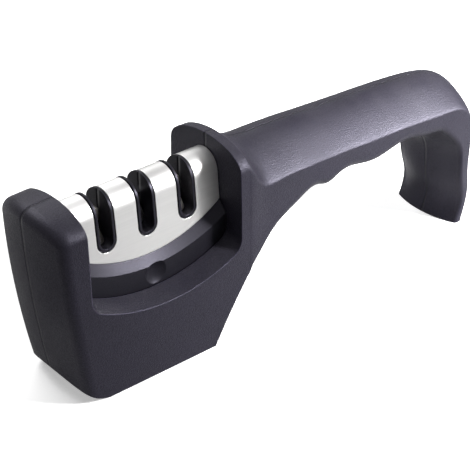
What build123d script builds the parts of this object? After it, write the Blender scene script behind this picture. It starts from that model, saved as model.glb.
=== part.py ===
"""Pull through knife sharpener: a two-half handle body and a lift-out sharpening cartridge.

X runs along the object from the nose to the heel, Y across it and Z up. The shapes are drawn with X = 0 at the
foot of the nose, and each piece is moved when it is written, so that the origin is the middle of the underside.
"""

from build123d import *
import os
from math import cos, radians, sin, sqrt, tan

# Overall sizes
nose_reach = 18.0
heel_x = 193.4
body_height = 79.6
body_half_width = 20.8
body_wall = 2.4
side_bulge_radius = 670.0
side_bulge_z = 45.0
overrun = 12.0

# Nose
nose_radius = 52.0
nose_corner_radius = 4.5
forefoot_z = 20.0
forefoot_x = 1.5

# Pocket and saddle, which take the cartridge
pocket_front_x = -4.5
pocket_back_x = 62.0
pocket_half_width = 12.3
pocket_floor_z = 25.7
pocket_floor_thickness = 2.4
upright_thickness = 4.0
smile_radius = 66.0
saddle_inner_z = 33.9
saddle_rim_z = 30.7
saddle_corner_radius = 7.0

# Base and handle
base_back_x = 50.5
pad_thickness = 2.0
pad_reveal = 0.5
pad_inset = 3.2
pad_corner_radius = 6.0
handle_hollow_end_x = 168.0
rib_thickness = 1.7

# Cartridge
cartridge_gap = 0.3
seat_gap = 0.1
band_ridge_z = 42.5
cover_edge_z = 45.8
cover_edge_half_width = 9.2
cover_top_z = 73.9
cover_crown_radius = 7.4
cover_thickness = 0.6
cover_fit = 0.08
slot_pitch = 18.0
slot_width = 8.6
slot_bottom_z = 53.0
lip_gap = 0.55
lip_proud = 0.15
knife_slot_width = 5.6
dimple_radius = 4.65
dimple_depth = 1.3
dimple_z = 39.1
frame_wall = 2.4

# Sharpening elements
rod_radius = 2.0
rod_length = 20.0
element_angle = 20.0
crossing_z = 56.5
element_fit = 0.05
centre_gap = 0.3
blade_thickness = 2.0
blade_width = 6.4
blade_length = 19.0

# Screws
shell_screw_radius = 1.4
shell_screw_head_radius = 2.8
shell_screw_head_height = 2.0
shell_boss_radius = 3.6
shell_screw_recess = 8.5
shell_screw_reach = 12.0
frame_screw_radius = 1.1
frame_screw_head_radius = 2.2
frame_screw_head_height = 1.4
frame_screw_z = 30.6
frame_screw_reach = 8.0
blade_screw_radius = 0.9
blade_screw_head_radius = 1.8
blade_screw_length = 5.0
screw_fit = 0.06
drive_depth_share = 0.55
drive_width_share = 0.30

handle_start_x = pocket_back_x + upright_thickness
handle_length = heel_x - handle_start_x
pocket_length = pocket_back_x - pocket_front_x
pocket_mid_x = (pocket_front_x + pocket_back_x) / 2
object_mid_x = (heel_x - nose_reach) / 2
slot_centres = [pocket_mid_x + turn * slot_pitch for turn in (-1, 0, 1)]

# Front block: place from the pocket's front to the handle, then top, half width and crown
front_shares = (
    (-0.28, 0.971, 0.900, 0.40),
    (0.00, 0.975, 0.950, 0.41),
    (0.45, 0.986, 0.981, 0.42),
    (0.93, 1.000, 1.000, 0.45),
    (1.00, 1.000, 1.000, 0.46),
)

# Side profile under the nose and behind the base
forefoot_front_share = 0.76
forefoot_bend_shares = (0.72, 0.36)
under_bend_shares = (0.36, 0.41)
handle_root_share = 0.34

# Nose front: height and reach
nose_shares = ((-0.03, 0.50), (0.38, 0.82), (0.75, 0.97), (1.05, 1.00))

# Handle and leg: top point, underside point, half width, crown, the crown's peak, belly and corner.
# A crown is a share of the half width, or of the section's depth where that is smaller.
handle_shares = (
    (0.000, 1.000, 0.000, 0.322, 1.000, 0.460, 0.00, 0.002, 0.008),
    (0.025, 0.962, 0.022, 0.376, 0.995, 0.510, 0.30, 0.012, 0.043),
    (0.065, 0.930, 0.065, 0.440, 0.963, 0.660, 0.70, 0.016, 0.072),
    (0.125, 0.922, 0.125, 0.517, 0.938, 0.630, 1.00, 0.020, 0.112),
    (0.205, 0.922, 0.205, 0.577, 0.918, 0.630, 1.00, 0.024, 0.146),
    (0.290, 0.918, 0.290, 0.618, 0.903, 0.625, 1.00, 0.024, 0.168),
    (0.355, 0.912, 0.355, 0.608, 0.893, 0.620, 1.00, 0.024, 0.165),
    (0.440, 0.905, 0.440, 0.634, 0.883, 0.615, 1.00, 0.024, 0.185),
    (0.535, 0.898, 0.530, 0.612, 0.878, 0.615, 1.00, 0.024, 0.176),
    (0.640, 0.891, 0.630, 0.636, 0.873, 0.620, 1.00, 0.024, 0.197),
    (0.745, 0.882, 0.720, 0.634, 0.868, 0.640, 1.00, 0.024, 0.200),
    (0.862, 0.862, 0.805, 0.614, 0.868, 0.600, 1.00, 0.028, 0.190),
    (0.958, 0.806, 0.872, 0.565, 0.880, 0.480, 0.80, 0.034, 0.122),
    (0.996, 0.695, 0.918, 0.488, 0.880, 0.364, 0.40, 0.038, 0.131),
    (0.999, 0.500, 0.940, 0.370, 0.880, 0.363, 0.20, 0.042, 0.182),
    (1.003, 0.300, 0.953, 0.220, 0.880, 0.395, 0.10, 0.043, 0.253),
    (1.008, 0.120, 0.961, 0.075, 0.880, 0.427, 0.00, 0.044, 0.328),
    (1.012, -0.050, 0.966, -0.070, 0.880, 0.445, 0.00, 0.045, 0.395),
)

# Crown curve: its control points out and up from the crest, as shares of its half width and its depth
round_crown_shares = ((1.000, -1.000), (1.000, -0.486), (0.695, -0.067), (0.246, 0.166))
roof_crown_shares = ((1.000, -1.000), (1.000, -0.900), (1.000, -0.900), (-0.300, 0.749))

base_rib_shares = (0.25, 0.55, 0.83)
grip_rib_shares = (0.16, 0.29, 0.55, 0.68)
shell_screw_shares = ((0.12, 0.15), (0.60, 0.15), (0.10, 0.72), (0.42, 0.73), (0.76, 0.735))


def side_width(mid_half_width, z):
    """Half width of a bulged side at a height."""
    return mid_half_width - (z - side_bulge_z) ** 2 / (2 * side_bulge_radius)


def crown_points(half_width, depth, peak_share):
    """The control points of a crown, between the round curve and the roof-like one."""
    right = []
    for (round_out, round_up), (roof_out, roof_up) in zip(round_crown_shares, roof_crown_shares):
        out = round_out + (roof_out - round_out) * peak_share
        up = round_up + (roof_up - round_up) * peak_share
        right.append((out * half_width, up * depth))
    return right + [(-out, up) for out, up in reversed(right)]


def crowned_section(top, under, mid_half_width, crown, peak_share, belly, corner, inset=0.0):
    """A closed outline across the body: a crown, bulged sides and a rounded underside.

    The crown is round at a peak share of 0, and falls from the seam like a soft roof at 1.
    """
    down = (under - top).normalized()
    length = (under - top).length
    frame = Plane(origin=top, x_dir=(0, 1, 0), z_dir=Vector(0, 1, 0).cross(down * -1))

    def side_point(distance):
        return side_width(mid_half_width, (top + down * distance).Z) - inset

    shoulder = crown - inset
    foot = length - inset - corner
    foot_half = side_point(foot)
    middle = (shoulder + foot) / 2
    toe = foot_half - corner
    chord = corner * (1 - sqrt(0.5))
    side_control = 2 * side_point(middle) - (side_point(shoulder) + foot_half) / 2
    with BuildSketch(frame) as outline:
        with BuildLine():
            Bezier(*crown_points(side_point(shoulder), shoulder, peak_share))
            Bezier((-side_point(shoulder), -shoulder), (-side_control, -middle), (-foot_half, -foot))
            ThreePointArc(
                (-foot_half, -foot), (chord - foot_half, chord - corner - foot), (-toe, -foot - corner)
            )
            ThreePointArc((-toe, -foot - corner), (0, -foot - corner - belly), (toe, -foot - corner))
            ThreePointArc(
                (toe, -foot - corner), (foot_half - chord, chord - corner - foot), (foot_half, -foot)
            )
            Bezier((foot_half, -foot), (side_control, -middle), (side_point(shoulder), -shoulder))
        make_face()
    return outline.sketch.faces()[0]


def lifted(x, share):
    """A point of the seam plane, with its height as a share of the body's."""
    return Vector(x, 0, share * body_height)


def cut_box(x_range, y_range, z_range):
    """A box between two corners."""
    size = [high - low for low, high in (x_range, y_range, z_range)]
    centre = [(high + low) / 2 for low, high in (x_range, y_range, z_range)]
    return Pos(*centre) * Box(*size)


def profile_prism(face, y_range):
    """A side profile drawn in the XZ plane, carried across from one Y to another."""
    low, high = y_range
    return extrude(Pos(0, high, 0) * face, amount=high - low, dir=(0, -1, 0))


def cross_pin(x, z, radius, y_range):
    """A round pin or hole that lies across the body."""
    low, high = y_range
    return Pos(x, (low + high) / 2, z) * Rot(90, 0, 0) * Cylinder(radius, high - low)


def front_block(inset):
    """The nose, base and upright as one tall block, before the pocket is cut."""
    faces = []
    for along, top, width, crown in front_shares:
        x = pocket_front_x + along * (handle_start_x - pocket_front_x)
        faces.append(
            crowned_section(
                lifted(x, top) - Vector(0, 0, inset), Vector(x, 0, -pad_thickness), width * body_half_width,
                crown * body_half_width, 0, pad_reveal, pad_thickness, inset
            )
        )
    return loft(faces)


def nose_limit(inset):
    """A tall block whose front is the bow of the nose."""
    faces = []
    spread = body_half_width + pad_thickness
    sagitta = nose_radius - sqrt(nose_radius**2 - spread**2)
    for height, reach in nose_shares:
        front = inset - nose_reach * reach
        with BuildSketch(Plane.XY.offset(height * body_height)) as plan:
            with BuildLine():
                ThreePointArc((front + sagitta, spread), (front, 0), (front + sagitta, -spread))
                Polyline(
                    (front + sagitta, -spread),
                    (handle_start_x + overrun, -spread),
                    (handle_start_x + overrun, spread),
                    (front + sagitta, spread),
                )
            make_face()
        faces.append(plan.sketch.faces()[0])
    return loft(faces)


def under_points(inset):
    """The underside from the foot of the base up to the handle, on the side profile."""
    first = handle_start_x
    start_z = handle_root_share * body_height
    return (
        (base_back_x - inset, 0),
        (base_back_x + (first - base_back_x) * under_bend_shares[0] - inset, start_z * under_bend_shares[1]),
        (first - inset, start_z + inset / 2),
    )


def under_limit(inset):
    """What is cut away behind the base and under the handle's root."""
    foot, bend, root = under_points(inset)
    lean = pad_thickness / 2
    with BuildSketch(Plane.XZ) as profile:
        with BuildLine():
            Polyline((foot[0] + overrun * 2, -overrun), (foot[0] - lean, -overrun), (foot[0], 0))
            ThreePointArc(foot, bend, root)
            Polyline(root, (root[0] + overrun, root[1]), (foot[0] + overrun * 2, -overrun))
        make_face()
    return profile_prism(profile.sketch.faces()[0], (-body_half_width * 2, body_half_width * 2))


def forefoot_limit(inset):
    """What is cut away under the nose, so that its foot is rounded like a bow."""
    front = -nose_reach * forefoot_front_share + inset
    with BuildSketch(Plane.XZ) as profile:
        with BuildLine():
            ThreePointArc(
                (front, forefoot_z),
                (front * forefoot_bend_shares[0], forefoot_z * forefoot_bend_shares[1]),
                (forefoot_x + inset, inset),
            )
            Polyline(
                (forefoot_x + inset, inset),
                (forefoot_x + inset, -overrun),
                (-nose_reach - overrun, -overrun),
                (-nose_reach - overrun, forefoot_z),
                (front, forefoot_z),
            )
        make_face()
    return profile_prism(profile.sketch.faces()[0], (-body_half_width * 2, body_half_width * 2))


def handle_block(inset, last=len(handle_shares)):
    """The handle and its leg, lofted along the grip."""
    faces = []
    for top_x, top_z, under_x, under_z, width, crown, peak, belly, corner in handle_shares[:last]:
        top = lifted(handle_start_x + top_x * handle_length, top_z)
        under = lifted(handle_start_x + under_x * handle_length, under_z)
        depth = (under - top).length
        down = (under - top).normalized()
        faces.append(
            crowned_section(
                top + down * inset, under, width * body_half_width, crown * min(body_half_width, depth),
                peak, belly * body_height, corner * depth, inset
            )
        )
    return loft(faces)


def nose_and_base(inset):
    """The front block with its bow, its rounded forefoot and its cut-away back."""
    block = front_block(inset) & nose_limit(inset)
    block -= forefoot_limit(inset)
    block -= cut_box((-overrun * 3, heel_x), (-body_height, body_height), (-overrun, inset))
    if inset == 0:
        front = block.faces().sort_by(Axis.X)[0]
        block = fillet([edge for edge in front.edges() if edge.center().Z > forefoot_z], nose_corner_radius)
    return block - under_limit(inset)


def saddle_profile(lowest_z):
    """The U of the saddle on the side profile: a gentle smile with a rounded corner at each end."""
    top = body_height + overrun
    half = pocket_length / 2
    rise = smile_radius - sqrt(smile_radius**2 - half**2)
    with BuildSketch(Plane.XZ) as profile:
        with BuildLine() as line:
            ThreePointArc(
                (pocket_front_x, lowest_z + rise), (pocket_mid_x, lowest_z), (pocket_back_x, lowest_z + rise)
            )
            Polyline(
                (pocket_back_x, lowest_z + rise),
                (pocket_back_x, top),
                (pocket_front_x, top),
                (pocket_front_x, lowest_z + rise),
            )
        make_face()
        fillet(profile.vertices().sort_by(Axis.Y)[:2], saddle_corner_radius)
    return profile.sketch.faces()[0]


def sloped_cut(profile, inner_half_width, inner_z, outer_half_width, outer_z, reach):
    """A cut through a side profile, mirrored, whose floor falls from the middle out to each side."""
    slope = (inner_z - outer_z) / (outer_half_width - inner_half_width)
    middle = profile(inner_z + slope * inner_half_width)
    edge = profile(inner_z - slope * (reach - inner_half_width))
    near = loft([middle, Pos(0, -reach, 0) * edge], ruled=True)
    return near + mirror(near, Plane.XZ)


def pocket():
    """The space for the cartridge: a straight well, and the saddle that opens it to both sides."""
    well = cut_box(
        (pocket_front_x, pocket_back_x),
        (-pocket_half_width, pocket_half_width),
        (pocket_floor_z, body_height + overrun),
    )
    saddle = sloped_cut(
        saddle_profile, pocket_half_width, saddle_inner_z, body_half_width, saddle_rim_z,
        body_half_width + overrun / 2
    )
    return well + saddle


def hollow():
    """The room inside the body halves: the base, the nose and the grip."""
    front = nose_and_base(body_wall)
    front -= cut_box(
        (pocket_front_x - body_wall, heel_x),
        (-body_height, body_height),
        (pocket_floor_z - pocket_floor_thickness, body_height * 2),
    )
    grip = handle_block(body_wall, 12)
    grip &= cut_box(
        (handle_start_x + body_wall, handle_hollow_end_x), (-body_height, body_height), (0, body_height)
    )
    return front, grip


def pad_plan(inset):
    """The outline of the pad under the base."""
    low = forefoot_x + pad_inset + inset
    high = base_back_x - pad_inset - inset
    width = 2 * (side_width(body_half_width, 0) - 2 * pad_inset - inset)
    with BuildSketch() as plan:
        with Locations(((low + high) / 2, 0)):
            RectangleRounded(high - low, width, pad_corner_radius - inset)
    return plan.sketch.faces()[0]


def shell_screw_places():
    """Where each shell screw crosses the body, on the side profile."""
    return [(along * handle_start_x, up * body_height) for along, up in shell_screw_shares[:2]] + [
        (handle_start_x + along * handle_length, up * body_height) for along, up in shell_screw_shares[2:]
    ]


def shell_bosses():
    """The screw bosses and ribs inside the body, before they are trimmed to its outline."""
    reach = body_half_width
    parts = [cross_pin(x, z, shell_boss_radius, (-reach, reach)) for x, z in shell_screw_places()]
    for share in base_rib_shares:
        x = share * base_back_x
        parts.append(cut_box((x, x + rib_thickness), (-reach, reach), (0, pocket_floor_z - body_wall / 2)))
    for share in grip_rib_shares:
        x = handle_start_x + share * handle_length
        parts.append(cut_box((x, x + rib_thickness), (-reach, reach), (0, body_height)))
    return parts


def body_halves():
    """The left and right halves of the body, as moulded shells."""
    grip = handle_block(0)
    grip -= cut_box(
        (handle_start_x, heel_x + overrun), (-body_height, body_height), (-body_height, -pad_reveal)
    )
    grip -= under_limit(0)
    outside = nose_and_base(0) + grip
    outside -= pocket()
    front, grip = hollow()
    body = outside - front - grip
    for boss in shell_bosses():
        body += boss & (front + grip)
    body -= extrude(pad_plan(-cartridge_gap / 2), amount=pad_thickness - pad_reveal)
    for x, z in shell_screw_places():
        shell_side = body_half_width - shell_screw_recess
        body -= cross_pin(
            x, z, shell_screw_head_radius + cartridge_gap, (shell_side, body_half_width + overrun)
        )
        body -= cross_pin(x, z, shell_screw_radius + screw_fit, (-shell_screw_reach - screw_fit, shell_side))
    side = body_half_width + overrun
    room = (-nose_reach - overrun, heel_x + overrun), (-overrun, body_height + overrun)
    left = body & cut_box(room[0], (0, side), room[1])
    right = body & cut_box(room[0], (-side, 0), room[1])
    return left, right


def cross_screw(x, z, head_y, reach_y, radius, head_radius, head_height):
    """A screw that lies across the object, with a drive recess in its head."""
    screw = cross_pin(x, z, head_radius, (head_y, head_y + head_height))
    screw += cross_pin(x, z, radius, (reach_y, head_y))
    drive = head_radius * drive_depth_share
    depth = (head_y + head_height * drive_depth_share, head_y + head_height + overrun)
    for wide, high in ((1, drive_width_share), (drive_width_share, 1)):
        screw -= cut_box((x - drive * wide, x + drive * wide), depth, (z - drive * high, z + drive * high))
    return screw


def shell_screws():
    """The screws that hold the body halves together, as a group."""
    head_y = body_half_width - shell_screw_recess
    return Compound(
        children=[
            cross_screw(
                x, z, head_y, -shell_screw_reach, shell_screw_radius, shell_screw_head_radius,
                shell_screw_head_height
            ).solid()
            for x, z in shell_screw_places()
        ]
    )


def base_pad():
    """The soft pad under the base, with grip grooves across it."""
    pad = extrude(Pos(0, 0, -pad_reveal) * pad_plan(0), amount=pad_thickness)
    for share in (-0.36, -0.18, 0, 0.18, 0.36):
        x = (forefoot_x + base_back_x) / 2 + share * (base_back_x - forefoot_x)
        pad -= cut_box(
            (x - pad_reveal, x + pad_reveal), (-body_half_width, body_half_width), (-pad_reveal * 2, 0)
        )
    return pad


def arch_section(spread, foot_z):
    """The cover's arch across the cartridge: a round crown on sides that spread to the foot."""
    radius = cover_crown_radius + spread
    centre_z = cover_top_z - cover_crown_radius
    run = centre_z - cover_edge_z
    lean = cover_edge_half_width + spread - radius
    angle = lean / run
    foot_half = radius + lean + (cover_edge_z - foot_z) * angle
    spring = (radius * cos(angle), centre_z + radius * sin(angle))
    with BuildSketch(Plane.YZ) as outline:
        with BuildLine():
            ThreePointArc(spring, (0, centre_z + radius), (-spring[0], spring[1]))
            Polyline((-spring[0], spring[1]), (-foot_half, foot_z), (foot_half, foot_z), spring)
        make_face()
    return outline.sketch.faces()[0]


def arch_block(spread, foot_z, end_gap):
    """The arch carried along the cartridge."""
    start = pocket_front_x + end_gap
    length = pocket_length - 2 * end_gap
    return extrude(Pos(start, 0, 0) * arch_section(spread, foot_z), amount=length, dir=(1, 0, 0))


def smile_profile(lowest_z):
    """The region above a smile, on the side profile."""
    half = pocket_length / 2 + cartridge_gap
    rise = smile_radius - sqrt(smile_radius**2 - half**2)
    top = body_height + overrun
    with BuildSketch(Plane.XZ) as profile:
        with BuildLine():
            ThreePointArc(
                (pocket_mid_x - half, lowest_z + rise),
                (pocket_mid_x, lowest_z),
                (pocket_mid_x + half, lowest_z + rise),
            )
            Polyline(
                (pocket_mid_x + half, lowest_z + rise),
                (pocket_mid_x + half, top),
                (pocket_mid_x - half, top),
                (pocket_mid_x - half, lowest_z + rise),
            )
        make_face()
    return profile.sketch.faces()[0]


def slot_prism(width, bottom_z, reach):
    """The three slots, round at the bottom and open at the top, carried across the cartridge."""
    radius = width / 2
    top = body_height + overrun
    slots = None
    for x in slot_centres:
        cut = cut_box((x - radius, x + radius), (-reach, reach), (bottom_z + radius, top))
        cut += cross_pin(x, bottom_z + radius, radius, (-reach, reach))
        slots = cut if slots is None else slots + cut
    return slots


def above_band(lift):
    """The space above the band's bevel, which the cover stands in."""
    band_half_width = pocket_half_width - cartridge_gap
    return sloped_cut(
        smile_profile, cover_edge_half_width, cover_edge_z + lift, band_half_width, band_ridge_z + lift,
        body_half_width
    )


def cartridge_cover():
    """The steel cover: a thin arch with three slots and a curved lower edge."""
    shell = arch_block(0, band_ridge_z, cartridge_gap) - arch_block(-cover_thickness, 0, -overrun)
    shell &= above_band(cover_fit)
    return shell - slot_prism(slot_width, slot_bottom_z, body_half_width)


def frame_solid():
    """Both halves of the cartridge frame in one: band, core under the cover, and slot lips."""
    half_width = pocket_half_width - cartridge_gap
    x_range = (pocket_front_x + cartridge_gap, pocket_back_x - cartridge_gap)
    bottom = pocket_floor_z + seat_gap
    band = cut_box(x_range, (-half_width, half_width), (bottom, cover_edge_z * 1.5)) - above_band(0)
    core = arch_block(-cover_thickness - cover_fit, bottom, cartridge_gap)
    lip_width = slot_width - 2 * lip_gap
    lips = arch_block(lip_proud, band_ridge_z, cartridge_gap) & slot_prism(
        lip_width, slot_bottom_z + lip_gap, body_half_width
    )
    frame = band + core + lips
    lip_wall = (lip_width - knife_slot_width) / 2
    frame -= slot_prism(knife_slot_width, slot_bottom_z + lip_gap + lip_wall, body_half_width)
    skirt_top = band_ridge_z - element_angle / 5
    frame -= cut_box(
        (x_range[0] + frame_wall, x_range[1] - frame_wall),
        (-half_width + frame_wall, half_width - frame_wall),
        (0, bottom + (skirt_top - bottom) * 0.7),
    )
    for x in frame_screw_places():
        frame += cross_pin(x, frame_screw_z, frame_screw_radius * 2.4, (-half_width + 1, half_width - 1))
    dimple = dimple_sphere_radius()
    for side in (-1, 1):
        frame -= Pos(pocket_mid_x, side * (half_width + dimple - dimple_depth), dimple_z) * Sphere(dimple)
    return frame


def dimple_sphere_radius():
    """The radius of the ball that leaves a dimple of the named width and depth."""
    return (dimple_radius**2 + dimple_depth**2) / (2 * dimple_depth)


def frame_screw_places():
    """Where the frame screws cross the cartridge."""
    return [pocket_mid_x - slot_pitch, pocket_mid_x + slot_pitch]


def element_axis(x, side):
    """The tilted place of an element: its own half of the cartridge, leaning one way."""
    return Pos(x, 0, crossing_z) * Rot(0, side * element_angle, 0)


def sharpening_rod(x, side, fit=0.0):
    """A round rod of one half, or with a fit the groove that it lies in."""
    axis_y = side * (centre_gap + rod_radius)
    rod = Pos(0, axis_y, 0) * Cylinder(rod_radius + fit, rod_length + 2 * fit)
    if fit:
        half = (rod_length + 2 * fit) / 2
        y_range = sorted((0, axis_y))
        rod += cut_box((-rod_radius - fit, rod_radius + fit), y_range, (-half, half))
    else:
        rod = chamfer(rod.edges(), rod_radius / 6)
    return element_axis(x, side) * rod


def blade_screw_place(side):
    """Where a blade's screw sits along the blade."""
    return -blade_length / 2 + blade_width / 2


def carbide_blade(x, side, fit=0.0):
    """A flat blade of one half with its screw hole, or with a fit the seat that it lies in."""
    y_range = sorted((side * (centre_gap if not fit else 0), side * (centre_gap + blade_thickness + fit)))
    half_width = blade_width / 2 + fit
    half_length = blade_length / 2 + fit
    blade = cut_box((-half_width, half_width), y_range, (-half_length, half_length))
    if not fit:
        blade -= cross_pin(0, blade_screw_place(side), blade_screw_radius + screw_fit, y_range)
        blade -= countersink(side, screw_fit)
    return element_axis(x, side) * blade


def countersink(side, fit):
    """The cone of a blade screw's head, flush with the blade's inner face."""
    depth = blade_screw_head_radius - blade_screw_radius
    low = side * centre_gap
    cone = Cone(blade_screw_radius + fit, blade_screw_head_radius + fit, depth)
    return Pos(0, low + side * depth / 2, blade_screw_place(side)) * Rot(side * 90, 0, 0) * cone


def blade_screw(x, side, fit=0.0):
    """A countersunk screw that holds a blade to its half of the frame."""
    y_range = sorted((side * centre_gap, side * (centre_gap + blade_screw_length + fit)))
    screw = cross_pin(0, blade_screw_place(side), blade_screw_radius + fit, y_range)
    screw += countersink(side, 0)
    if not fit:
        drive = blade_screw_radius * drive_depth_share
        recess = sorted((0, side * (centre_gap + drive)))
        z = blade_screw_place(side)
        screw -= cut_box((-drive, drive), recess, (z - drive, z + drive))
    return element_axis(x, side) * screw


def frame_half(frame, side):
    """One half of the cartridge frame, with the seats of its elements and screws."""
    half_width = pocket_half_width
    y_range = sorted((0, side * half_width))
    room = (pocket_front_x, pocket_back_x), y_range, (pocket_floor_z, body_height)
    half = frame & cut_box(*room)
    first, second, third = slot_centres
    half -= sharpening_rod(first, side, element_fit)
    half -= carbide_blade(second, side, element_fit)
    half -= blade_screw(second, side, screw_fit)
    half -= sharpening_rod(third, side, element_fit)
    for x in frame_screw_places():
        head_y = half_width - cartridge_gap - frame_screw_head_height - seat_gap
        half -= cross_pin(x, frame_screw_z, frame_screw_head_radius + screw_fit, (head_y, half_width))
        half -= cross_pin(x, frame_screw_z, frame_screw_radius + screw_fit, (-frame_screw_reach, head_y))
    return half


def frame_screws():
    """The screws that hold the cartridge halves together, as a group."""
    head_y = pocket_half_width - cartridge_gap - frame_screw_head_height - seat_gap
    return Compound(
        children=[
            cross_screw(
                x, frame_screw_z, head_y, -frame_screw_reach + screw_fit, frame_screw_radius,
                frame_screw_head_radius, frame_screw_head_height
            ).solid()
            for x in frame_screw_places()
        ]
    )


def build_parts():
    """Every sub-part by its name."""
    first, second, third = slot_centres
    parts = {}
    parts["body_left"], parts["body_right"] = body_halves()
    parts["body_screws"] = shell_screws()
    parts["base_pad"] = base_pad()
    parts["cartridge_cover"] = cartridge_cover()
    frame = frame_solid()
    for side, name in ((1, "left"), (-1, "right")):
        parts["cartridge_frame_" + name] = frame_half(frame, side)
        parts["diamond_rod_" + name] = sharpening_rod(first, side)
        parts["carbide_blade_" + name] = carbide_blade(second, side)
        parts["ceramic_rod_" + name] = sharpening_rod(third, side)
    parts["blade_screws"] = Compound(children=[blade_screw(second, side).solid() for side in (1, -1)])
    parts["cartridge_screws"] = frame_screws()
    return parts


os.makedirs("parts", exist_ok=True)
for name, part in build_parts().items():
    export_step(Pos(-object_mid_x, 0, pad_reveal) * part, os.path.join("parts", name + ".step"))
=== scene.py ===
"""Finishes and studio for a pull through knife sharpener with a lift-out sharpening cartridge."""

import math

import bpy
from bpy.props import FloatProperty, FloatVectorProperty, PointerProperty
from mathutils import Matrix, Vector


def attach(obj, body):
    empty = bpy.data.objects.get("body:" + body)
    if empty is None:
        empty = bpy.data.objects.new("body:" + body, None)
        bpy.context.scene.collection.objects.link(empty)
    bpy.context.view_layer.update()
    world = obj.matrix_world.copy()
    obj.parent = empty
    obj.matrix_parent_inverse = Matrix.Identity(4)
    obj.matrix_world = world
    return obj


bl_info = {
    "name": "Knife Sharpener Studio",
    "version": (1, 0, 0),
    "blender": (4, 5, 0),
    "location": "3D View > Sidebar > Sharpener",
    "description": "Gives the sharpener its moulded, brushed and gritted finishes and lights it",
    "category": "Object",
}

WHITE = (1.0, 1.0, 1.0, 1.0)
VIOLET_SHEEN = (0.83, 0.80, 1.0, 1.0)
DUST_COLOUR = (0.42, 0.41, 0.42, 1.0)
SEAM_COLOUR = (0.002, 0.002, 0.003, 1.0)
# Pale steel that the cover's edges are painted towards: partly rubbed wear, partly a painted
# highlight
RUBBED_AND_HIGHLIT_STEEL = (0.92, 0.92, 0.93, 1.0)

# Kinds of sharpening element, each with its pieces and its finish, in metres and shares
ELEMENTS = {
    "diamond": (
        ("diamond_rod_left", "diamond_rod_right"),
        dict(roughness=0.52, metallic=0.85, grain_size=0.00022, depth=0.00006, sparkle=0.35),
    ),
    "carbide": (
        ("carbide_blade_left", "carbide_blade_right"),
        dict(roughness=0.34, metallic=1.0, grain_size=0.00012, depth=0.00001, sparkle=0.12),
    ),
    "ceramic": (
        ("ceramic_rod_left", "ceramic_rod_right"),
        dict(roughness=0.56, metallic=0.0, grain_size=0.00018, depth=0.00002, sparkle=0.05),
    ),
}

# Strip of the grip's underside beside the leg, in metres: its ends and half its width
SKIN_START = 0.0706
SKIN_END = 0.0809
SKIN_HALF_WIDTH = 0.01585

# Its height along the middle, a parabola from an origin
SKIN_ORIGIN = 0.0710
SKIN_HEIGHT = 0.04880
SKIN_SLOPE = -0.26395
SKIN_CURVE = 10.65

# Its rise from the middle to each side, which grows along it, and the upturn of its edges
SKIN_FLAT_HALF = 0.0140
SKIN_BOW = 0.00197
SKIN_BOW_GAIN = 0.0164
SKIN_EDGE_SLOPE = 0.10
SKIN_EDGE_CURVE = 75.0

# How far it is sunk into the solids, so that it never stands proud of them
SKIN_SINK = 0.00006

# Floor, in metres, and the distances over which it turns to white for the camera
FLOOR_RADIUS = 2.6
FLOOR_SIDES = 96
LIFT_START = 0.3
LIFT_END = 1.2

# Share of the brightness of floor and world that glossy faces mirror
MIRRORED_SHARE = 0.60

# Camera, in metres and degrees
CAMERA_PLACE = (-0.31993, -0.36084, 0.32358)
CAMERA_TURN = (58.31, 0.0, -40.54)
CAMERA_NEAR_CLIP = 0.01
SENSOR_WIDTH_MM = 36.0

# Soft lights: name, setting that holds the power, size, beam in degrees, place and target
LIGHTS = (
    ("top_light", "top_power", (0.5, 0.5), 180.0, (-0.20, 0.50, 0.88), (0.0, 0.0, 0.05)),
    ("near_light", "near_power", (0.26, 0.16), 28.0, (0.62, -0.68, 0.50), (0.15, 0.0, 0.07)),
    ("back_light", "back_power", (0.3, 0.3), 180.0, (0.22, 0.66, 0.74), (-0.08, 0.0, 0.05)),
)

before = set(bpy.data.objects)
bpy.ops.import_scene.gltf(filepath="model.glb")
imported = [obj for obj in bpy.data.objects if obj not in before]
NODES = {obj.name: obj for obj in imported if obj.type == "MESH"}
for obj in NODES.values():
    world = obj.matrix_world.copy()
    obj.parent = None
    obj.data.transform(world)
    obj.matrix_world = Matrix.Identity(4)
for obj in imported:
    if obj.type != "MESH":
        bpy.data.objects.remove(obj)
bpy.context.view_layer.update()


# Helpers for node trees


def group_tree(name, inputs, outputs):
    """An empty shader node group with named sockets, and its two end nodes."""
    tree = bpy.data.node_groups.new(name, "ShaderNodeTree")
    for socket_name, kind, value in inputs:
        socket = tree.interface.new_socket(socket_name, in_out="INPUT", socket_type=kind)
        socket.default_value = value
    for socket_name, kind in outputs:
        tree.interface.new_socket(socket_name, in_out="OUTPUT", socket_type=kind)
    return tree, tree.nodes.new("NodeGroupInput"), tree.nodes.new("NodeGroupOutput")


def feed(tree, node, **sockets):
    """Gives sockets of a node a value or a link, each by its name or, as in i0, by its order."""
    for key, value in sockets.items():
        by_order = key[0] == "i" and key[1:].isdigit()
        socket = node.inputs[int(key[1:]) if by_order else key.replace("_", " ")]
        if isinstance(value, bpy.types.NodeSocket):
            tree.links.new(value, socket)
        else:
            socket.default_value = value


def add_node(tree, kind, settings=None, **sockets):
    """A node with its settings made and its sockets fed."""
    node = tree.nodes.new(kind)
    for key, value in (settings or {}).items():
        setattr(node, key, value)
    feed(tree, node, **sockets)
    return node


def maths(tree, operation, *values, clamp=False):
    """One step of arithmetic on values or links."""
    settings = {"operation": operation, "use_clamp": clamp}
    inputs = {f"i{order}": value for order, value in enumerate(values)}
    return add_node(tree, "ShaderNodeMath", settings, **inputs).outputs[0]


def scaled(tree, value, factor):
    """A value times a factor."""
    return maths(tree, "MULTIPLY", value, factor)


def vector_maths(tree, operation, **vectors):
    """One step of arithmetic on vectors, with both of its outputs."""
    return add_node(tree, "ShaderNodeVectorMath", {"operation": operation}, **vectors).outputs


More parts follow.
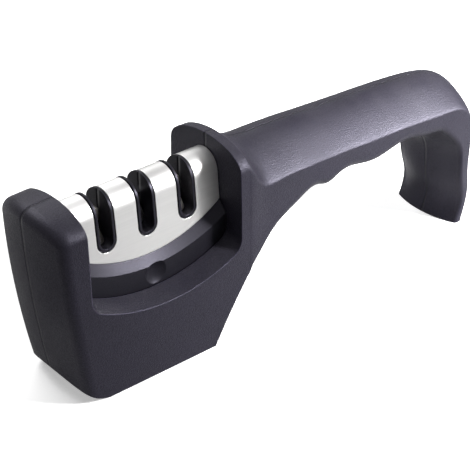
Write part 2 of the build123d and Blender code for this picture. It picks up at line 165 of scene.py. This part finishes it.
def spread(tree, value, low, high, to_low=0.0, to_high=1.0):
    """A value carried from one range to another, and held inside it."""
    ends = dict(From_Min=low, From_Max=high, To_Min=to_low, To_Max=to_high)
    node = add_node(tree, "ShaderNodeMapRange", {"clamp": True}, Value=value, **ends)
    return node.outputs["Result"]


def noise(tree, vector, scale, detail, roughness):
    """Soft noise from 0 to 1."""
    look = dict(Scale=scale, Detail=detail, Roughness=roughness)
    return add_node(tree, "ShaderNodeTexNoise", Vector=vector, **look).outputs["Fac"]


def cells(tree, vector, scale):
    """Small cells set close together, with the distance from their middles and a colour each."""
    settings = {"feature": "F1"}
    return add_node(tree, "ShaderNodeTexVoronoi", settings, Vector=vector, Scale=scale).outputs


def colour_mix(tree, mask, first, second):
    """Two colours mixed by a mask."""
    settings = {"data_type": "RGBA"}
    return add_node(tree, "ShaderNodeMix", settings, i0=mask, i6=first, i7=second).outputs[2]


def part_of(tree, vector, axis):
    """One axis of a vector."""
    return add_node(tree, "ShaderNodeSeparateXYZ", Vector=vector).outputs[axis]


def place(tree):
    """The place on the object, in metres, which moves with the piece."""
    return tree.nodes.new("ShaderNodeTexCoord").outputs["Object"]


def facing(tree):
    """The way that the face looks, before any relief."""
    return tree.nodes.new("ShaderNodeNewGeometry").outputs["Normal"]


# Effects that several materials share


def mould_grain_group():
    """The fine spark-eroded grain of a moulded plastic face."""
    tree, start, end = group_tree(
        "MouldGrain",
        (("Grain Size", "NodeSocketFloat", 0.0003),),
        (
            ("Height", "NodeSocketFloat"),
            ("Pits", "NodeSocketFloat"),
            ("Cloud", "NodeSocketFloat"),
        ),
    )
    where = place(tree)
    scale = maths(tree, "DIVIDE", 1.0, start.outputs["Grain Size"])
    fine = noise(tree, where, scale, detail=2.0, roughness=0.6)
    distance = cells(tree, where, scale)["Distance"]
    cloud = noise(tree, where, scale=42.0, detail=4.0, roughness=0.5)
    feed(
        tree,
        end,
        Height=maths(tree, "SUBTRACT", fine, scaled(tree, distance, 0.45)),
        Pits=spread(tree, distance, 0.25, 0.75),
        Cloud=spread(tree, cloud, 0.32, 0.68),
    )
    return tree


def edge_rub_and_highlight_group():
    """Where an edge is painted lighter, partly as wear from hands and drawers and partly as a
    painted highlight on its small rounding, and the softened normal of the edge.
    """
    tree, start, end = group_tree(
        "EdgeRub",
        (("Edge Radius", "NodeSocketFloat", 0.0005), ("Breakup", "NodeSocketFloat", 0.5)),
        (("Mask", "NodeSocketFloat"), ("Normal", "NodeSocketVector")),
    )
    radius = start.outputs["Edge Radius"]
    rounded = add_node(tree, "ShaderNodeBevel", {"samples": 6}, Radius=radius).outputs["Normal"]
    bend = vector_maths(tree, "DOT_PRODUCT", i0=rounded, i1=facing(tree))["Value"]
    edge = spread(tree, bend, 0.998, 0.86)
    patches = noise(tree, place(tree), scale=190.0, detail=5.0, roughness=0.65)
    broken = scaled(tree, spread(tree, patches, 0.38, 0.62), start.outputs["Breakup"])
    kept = maths(tree, "SUBTRACT", 1.0, broken)
    feed(tree, end, Mask=maths(tree, "MULTIPLY", edge, kept, clamp=True), Normal=rounded)
    return tree


def dust_group():
    """A little dust on what faces up, thicker in the soft patches of a slow noise."""
    tree, start, end = group_tree(
        "Dust",
        (("Amount", "NodeSocketFloat", 0.5), ("Patch Size", "NodeSocketFloat", 0.02)),
        (("Mask", "NodeSocketFloat"),),
    )
    where = place(tree)
    scale = maths(tree, "DIVIDE", 1.0, start.outputs["Patch Size"])
    patches = spread(tree, noise(tree, where, scale, detail=4.0, roughness=0.6), 0.35, 0.75)
    grains = noise(tree, where, scale=1500.0, detail=1.0, roughness=0.5)
    specks = spread(tree, grains, 0.64, 0.76)
    upward = spread(tree, part_of(tree, facing(tree), "Z"), 0.1, 0.9)
    film = maths(tree, "MULTIPLY", upward, patches)
    both = maths(tree, "ADD", scaled(tree, film, 0.5), maths(tree, "MULTIPLY", specks, film))
    feed(tree, end, Mask=maths(tree, "MULTIPLY", both, start.outputs["Amount"], clamp=True))
    return tree


def brushing_group():
    """Fine parallel scratches of a brushed sheet, drawn out along one axis."""
    tree, start, end = group_tree(
        "Brushing",
        (("Stretch", "NodeSocketVector", (40.0, 4200.0, 4200.0)),),
        (("Height", "NodeSocketFloat"), ("Streaks", "NodeSocketFloat")),
    )
    stretch = start.outputs["Stretch"]
    drawn = vector_maths(tree, "MULTIPLY", i0=place(tree), i1=stretch)["Vector"]
    scratches = noise(tree, drawn, scale=1.0, detail=3.0, roughness=0.7)
    broad = noise(tree, drawn, scale=0.16, detail=2.0, roughness=0.5)
    streaks = spread(tree, maths(tree, "ADD", scratches, broad), 0.75, 1.25)
    feed(tree, end, Height=scratches, Streaks=streaks)
    return tree


def grit_group():
    """Small hard grains set close together."""
    tree, start, end = group_tree(
        "Grit",
        (("Grain Size", "NodeSocketFloat", 0.00025),),
        (
            ("Height", "NodeSocketFloat"),
            ("Sparkle", "NodeSocketFloat"),
            ("Tone", "NodeSocketFloat"),
        ),
    )
    scale = maths(tree, "DIVIDE", 1.0, start.outputs["Grain Size"])
    grains = cells(tree, place(tree), scale)
    tone = add_node(tree, "ShaderNodeSeparateColor", Color=grains["Color"]).outputs["Red"]
    feed(
        tree,
        end,
        Height=maths(tree, "SUBTRACT", 1.0, grains["Distance"]),
        Sparkle=spread(tree, tone, 0.8, 0.95),
        Tone=tone,
    )
    return tree


def seam_group():
    """The hairline joint of two moulded halves that meet on the object's middle plane."""
    tree, start, end = group_tree(
        "Seam",
        (("Half Width", "NodeSocketFloat", 0.00040),),
        (("Line", "NodeSocketFloat"), ("Height", "NodeSocketFloat")),
    )
    across = maths(tree, "ABSOLUTE", part_of(tree, place(tree), "Y"))
    shares = maths(tree, "DIVIDE", across, start.outputs["Half Width"])
    feed(
        tree,
        end,
        Line=spread(tree, shares, 0.6, 1.4, to_low=1.0, to_high=0.0),
        Height=spread(tree, shares, 0.0, 2.4, to_low=-1.0, to_high=0.0),
    )
    return tree


GROUP_BUILDERS = {
    "MouldGrain": mould_grain_group,
    "EdgeRub": edge_rub_and_highlight_group,
    "Dust": dust_group,
    "Brushing": brushing_group,
    "Grit": grit_group,
    "Seam": seam_group,
}


def shared_group(name):
    """A shared effect, built the first time that it is asked for."""
    return bpy.data.node_groups.get(name) or GROUP_BUILDERS[name]()


# Materials


def new_material(name):
    """A material with its node tree and its Principled surface."""
    material = bpy.data.materials.new(name)
    material.use_nodes = True
    return material, material.node_tree, material.node_tree.nodes["Principled BSDF"]


def effect(tree, name, **values):
    """The outputs of a shared effect, placed in a material with its own values."""
    return add_node(tree, "ShaderNodeGroup", {"node_tree": shared_group(name)}, **values).outputs


def bump(tree, height, depth, strength, normal):
    """The normal of a relief of a given depth in metres, laid over another normal."""
    relief = dict(Height=height, Distance=depth, Strength=strength, Normal=normal)
    return add_node(tree, "ShaderNodeBump", **relief).outputs["Normal"]


def rgba(colour, factor=1.0):
    """A colour made lighter or darker, with its alpha."""
    return (colour[0] * factor, colour[1] * factor, colour[2] * factor, 1.0)


def moulded_material(
    name, colour, roughness, tint, gloss, grain_size, grain_depth, edge_radius, rub, dust
):
    """Moulded plastic or rubber: grain, a seam, edges smoother and painted lighter (partly wear,
    partly a painted highlight), some dust.
    """
    material, tree, shader = new_material(name)
    grain = effect(tree, "MouldGrain", Grain_Size=grain_size)
    edge = effect(tree, "EdgeRub", Edge_Radius=edge_radius)
    film = effect(tree, "Dust", Amount=dust)
    seam = effect(tree, "Seam")

    mottled = colour_mix(tree, grain["Cloud"], rgba(colour, 0.93), rgba(colour, 1.08))
    pitted = colour_mix(tree, scaled(tree, grain["Pits"], 0.6), mottled, rgba(colour, 0.3))
    # Edges painted lighter: partly rubbed wear, partly a painted highlight on the edge roundings
    rubbed_and_highlit = colour_mix(tree, scaled(tree, edge["Mask"], rub), pitted, rgba(colour, 5.0))
    dusty = colour_mix(tree, scaled(tree, film["Mask"], 0.10), rubbed_and_highlit, DUST_COLOUR)
    jointed = colour_mix(tree, scaled(tree, seam["Line"], 0.92), dusty, SEAM_COLOUR)

    clouded = spread(tree, grain["Cloud"], 0.0, 1.0, roughness - 0.05, roughness + 0.07)
    rougher = maths(tree, "ADD", clouded, scaled(tree, grain["Pits"], 0.10))
    smoothed = maths(tree, "SUBTRACT", rougher, scaled(tree, edge["Mask"], 0.10))
    dulled = maths(tree, "ADD", smoothed, scaled(tree, film["Mask"], 0.12))

    groove = bump(tree, seam["Height"], depth=0.0003, strength=0.8, normal=edge["Normal"])
    feed(
        tree,
        shader,
        Base_Color=jointed,
        Roughness=dulled,
        Specular_IOR_Level=gloss,
        Specular_Tint=tint,
        Normal=bump(tree, grain["Height"], grain_depth, strength=0.5, normal=groove),
    )
    return material


def sheet_steel_material(name, colour, roughness, stretch):
    """Satin brushed stainless sheet."""
    material, tree, shader = new_material(name)
    brushed = effect(tree, "Brushing", Stretch=stretch)
    edge = effect(tree, "EdgeRub", Edge_Radius=0.00025, Breakup=0.3)
    streaks = brushed["Streaks"]
    toned = colour_mix(tree, streaks, rgba(colour, 0.97), rgba(colour, 1.02))
    # Edges painted paler: partly rubbed wear, partly a painted highlight on the edge roundings
    feed(
        tree,
        shader,
        Base_Color=colour_mix(tree, scaled(tree, edge["Mask"], 0.4), toned, RUBBED_AND_HIGHLIT_STEEL),
        Metallic=1.0,
        Roughness=spread(tree, streaks, 0.0, 1.0, roughness + 0.02, roughness - 0.02),
        Anisotropic=0.25,
        Normal=bump(tree, brushed["Height"], 0.000006, strength=0.35, normal=edge["Normal"]),
    )
    return material


def machined_steel_material(name, colour, roughness):
    """Plated screw steel with a few rubbed marks."""
    material, tree, shader = new_material(name)
    edge = effect(tree, "EdgeRub", Edge_Radius=0.0002)
    marks = noise(tree, place(tree), scale=1400.0, detail=5.0, roughness=0.7)
    worn = spread(tree, marks, 0.4, 0.65)
    toned = colour_mix(tree, worn, rgba(colour, 0.75), rgba(colour, 1.1))
    # Edges painted lighter: partly rubbed wear, partly a painted highlight on the edge roundings
    feed(
        tree,
        shader,
        Base_Color=colour_mix(tree, edge["Mask"], toned, rgba(colour, 1.5)),
        Metallic=1.0,
        Roughness=spread(tree, marks, 0.3, 0.7, roughness - 0.06, roughness + 0.1),
        Normal=bump(tree, marks, 0.00001, strength=0.3, normal=edge["Normal"]),
    )
    return material


def grit_material(name, colour, roughness, metallic, grain_size, depth, sparkle):
    """A face of small hard grains: diamond on nickel, fired ceramic or ground carbide."""
    material, tree, shader = new_material(name)
    grains = effect(tree, "Grit", Grain_Size=grain_size)
    edge = effect(tree, "EdgeRub", Edge_Radius=0.0002)
    toned = colour_mix(tree, grains["Tone"], rgba(colour, 0.8), rgba(colour, 1.15))
    # Edges painted lighter: partly rubbed wear, partly a painted highlight on the edge roundings
    feed(
        tree,
        shader,
        Base_Color=colour_mix(tree, scaled(tree, edge["Mask"], 0.4), toned, rgba(colour, 1.3)),
        Metallic=metallic,
        Roughness=spread(tree, grains["Sparkle"], 0.0, 1.0, roughness, roughness - sparkle),
        Normal=bump(tree, grains["Height"], depth, strength=0.6, normal=edge["Normal"]),
    )
    return material


def dress(node_names, material):
    """Gives a finish to CAD nodes, in place of the plain one that they come with."""
    for name in node_names:
        mesh = NODES[name].data
        mesh.materials.clear()
        mesh.materials.append(material)


# Underside of the grip


def skin_height(along, across):
    """Height of the grip's underside at a place along and across it."""
    run = along - SKIN_ORIGIN
    middle = SKIN_HEIGHT + SKIN_SLOPE * run + SKIN_CURVE * run**2
    side = min(abs(across), SKIN_FLAT_HALF) / SKIN_FLAT_HALF
    bow = (SKIN_BOW + SKIN_BOW_GAIN * run) * side**2
    beyond = max(abs(across) - SKIN_FLAT_HALF, 0.0)
    return middle + bow + SKIN_EDGE_SLOPE * beyond + SKIN_EDGE_CURVE * beyond**2 + SKIN_SINK


def under_skin_mesh(thickness, columns=14, rows=44):
    """A closed curved plate that continues the grip's underside over the end of its hollow."""
    points = []
    for lift in (0.0, thickness):
        for column in range(columns + 1):
            along = SKIN_START + (SKIN_END - SKIN_START) * column / columns
            for row in range(rows + 1):
                across = SKIN_HALF_WIDTH * (2.0 * row / rows - 1.0)
                points.append((along, across, skin_height(along, across) + lift))

    step = rows + 1
    layer = (columns + 1) * step
    corners = [column * step + row for column in range(columns) for row in range(rows)]
    below = [(corner, corner + 1, corner + step + 1, corner + step) for corner in corners]
    above = [tuple(layer + corner for corner in reversed(face)) for face in below]

    rim = [column * step for column in range(columns)]
    rim += [columns * step + row for row in range(rows)]
    rim += [column * step + rows for column in range(columns, 0, -1)]
    rim += [row for row in range(rows, 0, -1)]
    pairs = [(rim[turn - 1], rim[turn]) for turn in range(len(rim))]
    walls = [(first, second, second + layer, first + layer) for first, second in pairs]

    mesh = bpy.data.meshes.new("grip_under_skin")
    mesh.from_pydata(points, [], below + above + walls)
    for face in mesh.polygons:
        face.use_smooth = face.index < len(below) + len(above)
    return mesh


# What a user would change


class StudioSettings(bpy.types.PropertyGroup):
    """Light, floor and camera."""

    top_power: FloatProperty(
        name="Top light", description="Power of the large top light", default=6.0, min=0.0
    )
    near_power: FloatProperty(
        name="Near light", description="Power of the near side's light", default=1.9, min=0.0
    )
    back_power: FloatProperty(
        name="Back light", description="Power of the light behind", default=2.0, min=0.0
    )
    ambient: FloatProperty(
        name="Ambient", description="Strength of the light from all round", default=0.10, min=0.0
    )
    floor_colour: FloatVectorProperty(
        name="Floor",
        description="Colour of the floor",
        subtype="COLOR",
        default=(0.88, 0.88, 0.88),
    )
    floor_lift: FloatProperty(
        name="Floor lift",
        description="How much lighter the floor looks to the camera",
        default=0.42,
        min=0.0,
    )
    focal_length: FloatProperty(
        name="Focal length",
        description="Camera lens on a 36 mm sensor, in millimetres",
        default=110.6,
        min=10.0,
    )


class BodySettings(bpy.types.PropertyGroup):
    """The moulded body and its foot."""

    colour: FloatVectorProperty(
        name="Body",
        description="Colour of the body plastic",
        subtype="COLOR",
        default=(0.0100, 0.0089, 0.0152),
    )
    roughness: FloatProperty(
        name="Roughness",
        description="Satin finish of the body",
        subtype="FACTOR",
        default=0.44,
    )
    grain_size: FloatProperty(
        name="Grain",
        description="Size of the moulded grain",
        unit="LENGTH",
        precision=5,
        default=0.00048,
    )
    skin_thickness: FloatProperty(
        name="Grip skin",
        description="Thickness of the grip's underside",
        unit="LENGTH",
        precision=5,
        default=0.0014,
    )
    pad_colour: FloatVectorProperty(
        name="Foot pad",
        description="Colour of the rubber foot",
        subtype="COLOR",
        default=(0.018, 0.018, 0.019),
    )


class CartridgeSettings(bpy.types.PropertyGroup):
    """The sharpening cartridge."""

    cover_colour: FloatVectorProperty(
        name="Cover",
        description="Colour of the steel cover",
        subtype="COLOR",
        default=(0.70, 0.695, 0.69),
    )
    cover_roughness: FloatProperty(
        name="Cover roughness",
        description="Satin finish of the cover",
        subtype="FACTOR",
        default=0.43,
    )
    frame_colour: FloatVectorProperty(
        name="Frame",
        description="Colour of the frame plastic",
        subtype="COLOR",
        default=(0.0035, 0.0032, 0.0052),
    )
    frame_roughness: FloatProperty(
        name="Frame roughness",
        description="Polish of the frame plastic",
        subtype="FACTOR",
        default=0.36,
    )
    diamond_colour: FloatVectorProperty(
        name="Diamond",
        description="Colour of the diamond coating",
        subtype="COLOR",
        default=(0.36, 0.35, 0.33),
    )
    carbide_colour: FloatVectorProperty(
        name="Carbide",
        description="Colour of the tungsten carbide",
        subtype="COLOR",
        default=(0.27, 0.27, 0.28),
    )
    ceramic_colour: FloatVectorProperty(
        name="Ceramic",
        description="Colour of the ceramic rods",
        subtype="COLOR",
        default=(0.78, 0.76, 0.71),
    )
    screw_colour: FloatVectorProperty(
        name="Screws",
        description="Colour of the plated screws",
        subtype="COLOR",
        default=(0.42, 0.42, 0.43),
    )


# Pieces


class SHARPENER_OT_body(bpy.types.Operator):
    """Gives the two body halves their grained charcoal plastic"""

    bl_idname = "sharpener.body"
    bl_label = "Body halves"

    def execute(self, context):
        wanted = context.scene.sharpener_body
        plastic = moulded_material(
            "body_plastic",
            wanted.colour,
            wanted.roughness,
            tint=VIOLET_SHEEN,
            gloss=0.30,
            grain_size=wanted.grain_size,
            grain_depth=0.00020,
            edge_radius=0.0006,
            rub=0.9,
            dust=0.5,
        )
        dress(("body_left", "body_right"), plastic)
        return {"FINISHED"}


class SHARPENER_OT_grip_skin(bpy.types.Operator):
    """Closes the grip's underside beside the leg"""

    bl_idname = "sharpener.grip_skin"
    bl_label = "Grip underside"

    def execute(self, context):
        mesh = under_skin_mesh(context.scene.sharpener_body.skin_thickness)
        mesh.materials.append(bpy.data.materials["body_plastic"])
        skin = bpy.data.objects.new("grip_under_skin", mesh)
        context.scene.collection.objects.link(skin)
        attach(skin, "handle_body")
        return {"FINISHED"}


class SHARPENER_OT_pad(bpy.types.Operator):
    """Gives the foot pad its matt rubber"""

    bl_idname = "sharpener.pad"
    bl_label = "Foot pad"

    def execute(self, context):
        rubber = moulded_material(
            "pad_rubber",
            context.scene.sharpener_body.pad_colour,
            roughness=0.78,
            tint=WHITE,
            gloss=0.40,
            grain_size=0.0005,
            grain_depth=0.00006,
            edge_radius=0.0005,
            rub=0.25,
            dust=0.8,
        )
        dress(("base_pad",), rubber)
        return {"FINISHED"}


class SHARPENER_OT_cover(bpy.types.Operator):
    """Gives the cartridge cover its satin stainless sheet"""

    bl_idname = "sharpener.cover"
    bl_label = "Cartridge cover"

    def execute(self, context):
        wanted = context.scene.sharpener_cartridge
        steel = sheet_steel_material(
            "cover_steel",
            wanted.cover_colour,
            wanted.cover_roughness,
            stretch=(60.0, 5200.0, 5200.0),
        )
        dress(("cartridge_cover",), steel)
        return {"FINISHED"}


class SHARPENER_OT_frame(bpy.types.Operator):
    """Gives the cartridge frame its polished black plastic"""

    bl_idname = "sharpener.frame"
    bl_label = "Cartridge frame"

    def execute(self, context):
        wanted = context.scene.sharpener_cartridge
        plastic = moulded_material(
            "frame_plastic",
            wanted.frame_colour,
            wanted.frame_roughness,
            tint=VIOLET_SHEEN,
            gloss=0.24,
            grain_size=0.0004,
            grain_depth=0.00001,
            edge_radius=0.0003,
            rub=0.6,
            dust=0.3,
        )
        dress(("cartridge_frame_left", "cartridge_frame_right"), plastic)
        return {"FINISHED"}


class SHARPENER_OT_elements(bpy.types.Operator):
    """Gives the diamond rods, carbide blades and ceramic rods their grit"""

    bl_idname = "sharpener.elements"
    bl_label = "Sharpening elements"

    def execute(self, context):
        wanted = context.scene.sharpener_cartridge
        for name, (pieces, finish) in ELEMENTS.items():
            colour = getattr(wanted, f"{name}_colour")
            dress(pieces, grit_material(name, colour, **finish))
        return {"FINISHED"}


class SHARPENER_OT_screws(bpy.types.Operator):
    """Gives the screws their plated steel"""

    bl_idname = "sharpener.screws"
    bl_label = "Screws"

    def execute(self, context):
        colour = context.scene.sharpener_cartridge.screw_colour
        steel = machined_steel_material("screw_steel", colour, roughness=0.32)
        dress(("body_screws", "blade_screws", "cartridge_screws"), steel)
        return {"FINISHED"}


# Studio


def floor_material(colour, lift):
    """A plain pale floor, lifted towards white for the camera and dimmer in mirrored faces."""
    material, tree, shader = new_material("studio_floor")
    where = place(tree)
    path = tree.nodes.new("ShaderNodeLightPath").outputs
    uneven = noise(tree, where, scale=9.0, detail=3.0, roughness=0.5)
    pale = colour_mix(tree, uneven, rgba(colour, 0.995), rgba(colour, 1.005))
    dimmer = rgba(colour, MIRRORED_SHARE)
    distance = vector_maths(tree, "LENGTH", i0=where)["Value"]
    lifted = spread(tree, distance, LIFT_START, LIFT_END, to_low=lift, to_high=1.0)
    feed(
        tree,
        shader,
        Base_Color=colour_mix(tree, path["Is Glossy Ray"], pale, dimmer),
        Roughness=0.9,
        Specular_IOR_Level=0.1,
        Emission_Color=WHITE,
        Emission_Strength=maths(tree, "MULTIPLY", path["Is Camera Ray"], lifted),
    )
    return material


def add_floor(colour, lift):
    """A wide round floor under the object."""
    angles = [math.tau * turn / FLOOR_SIDES for turn in range(FLOOR_SIDES)]
    rim = [(FLOOR_RADIUS * math.cos(turn), FLOOR_RADIUS * math.sin(turn), 0.0) for turn in angles]
    mesh = bpy.data.meshes.new("studio_floor")
    mesh.from_pydata(rim, [], [tuple(range(FLOOR_SIDES))])
    mesh.materials.append(floor_material(colour, lift))
    floor = bpy.data.objects.new("studio_floor", mesh)
    bpy.context.scene.collection.objects.link(floor)


def add_panel_light(name, power, size, beam, position, target):
    """A rectangular soft light that faces a target, with its beam held to an angle in degrees."""
    data = bpy.data.lights.new(name, "AREA")
    data.energy = power
    data.shape = "RECTANGLE"
    data.size, data.size_y = size
    data.spread = math.radians(beam)
    light = bpy.data.objects.new(name, data)
    light.location = position
    aim = Vector(target) - Vector(position)
    light.rotation_euler = aim.to_track_quat("-Z", "Y").to_euler()
    bpy.context.scene.collection.objects.link(light)


def add_world(ambient):
    """White to the camera, dimmer in mirrored faces and dimmest as a light."""
    world = bpy.data.worlds.new("studio_world")
    bpy.context.scene.world = world
    world.use_nodes = True
    tree = world.node_tree
    path = tree.nodes.new("ShaderNodeLightPath").outputs
    seen = maths(tree, "MAXIMUM", path["Is Camera Ray"], path["Is Transmission Ray"])
    mirrored = scaled(tree, path["Is Glossy Ray"], MIRRORED_SHARE)
    unseen = maths(tree, "MAXIMUM", mirrored, ambient)
    strength = maths(tree, "MAXIMUM", seen, unseen)
    feed(tree, tree.nodes["Background"], Color=WHITE, Strength=strength)


def add_camera(focal_length):
    """The camera, above the nose and looking down along the object."""
    data = bpy.data.cameras.new("studio_camera")
    data.sensor_width = SENSOR_WIDTH_MM
    data.sensor_fit = "HORIZONTAL"
    data.lens = focal_length
    data.clip_start = CAMERA_NEAR_CLIP
    camera = bpy.data.objects.new("studio_camera", data)
    camera.location = CAMERA_PLACE
    camera.rotation_euler = [math.radians(turn) for turn in CAMERA_TURN]
    bpy.context.scene.collection.objects.link(camera)
    bpy.context.scene.camera = camera


class SHARPENER_OT_studio(bpy.types.Operator):
    """Builds the floor, the soft lights, the world and the camera"""

    bl_idname = "sharpener.studio"
    bl_label = "Studio"

    def execute(self, context):
        wanted = context.scene.sharpener_studio
        context.scene.view_settings.view_transform = "Standard"
        add_floor(wanted.floor_colour, wanted.floor_lift)
        for name, power, *shape in LIGHTS:
            add_panel_light(name, getattr(wanted, power), *shape)
        add_world(wanted.ambient)
        add_camera(wanted.focal_length)
        return {"FINISHED"}


class SHARPENER_PT_panel(bpy.types.Panel):
    """Lists the pieces in the sidebar"""

    bl_idname = "SHARPENER_PT_panel"
    bl_label = "Knife sharpener"
    bl_space_type = "VIEW_3D"
    bl_region_type = "UI"
    bl_category = "Sharpener"

    def draw(self, context):
        for title, settings, operators in SECTIONS:
            section = self.layout.box()
            section.label(text=title)
            group = getattr(context.scene, settings)
            for name in group.bl_rna.properties.keys():
                if name not in ("rna_type", "name"):
                    section.prop(group, name)
            for name in operators:
                section.operator(name)


SECTIONS = (
    ("Body", "sharpener_body", ("sharpener.body", "sharpener.grip_skin", "sharpener.pad")),
    (
        "Cartridge",
        "sharpener_cartridge",
        ("sharpener.cover", "sharpener.frame", "sharpener.elements", "sharpener.screws"),
    ),
    ("Studio", "sharpener_studio", ("sharpener.studio",)),
)

SETTINGS = {
    "sharpener_body": BodySettings,
    "sharpener_cartridge": CartridgeSettings,
    "sharpener_studio": StudioSettings,
}

CLASSES = (
    *SETTINGS.values(),
    SHARPENER_OT_body,
    SHARPENER_OT_grip_skin,
    SHARPENER_OT_pad,
    SHARPENER_OT_cover,
    SHARPENER_OT_frame,
    SHARPENER_OT_elements,
    SHARPENER_OT_screws,
    SHARPENER_OT_studio,
    SHARPENER_PT_panel,
)


def register():
    """Adds the settings, the operators and the panel."""
    for kind in CLASSES:
        bpy.utils.register_class(kind)
    for name, kind in SETTINGS.items():
        setattr(bpy.types.Scene, name, PointerProperty(type=kind))


def unregister():
    """Takes away what register adds."""
    for name in SETTINGS:
        delattr(bpy.types.Scene, name)
    for kind in reversed(CLASSES):
        bpy.utils.unregister_class(kind)


def main():
    """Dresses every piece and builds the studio."""
    register()
    bpy.ops.sharpener.body()
    bpy.ops.sharpener.grip_skin()
    bpy.ops.sharpener.pad()
    bpy.ops.sharpener.cover()
    bpy.ops.sharpener.frame()
    bpy.ops.sharpener.elements()
    bpy.ops.sharpener.screws()
    bpy.ops.sharpener.studio()


if __name__ == "__main__":
    main()
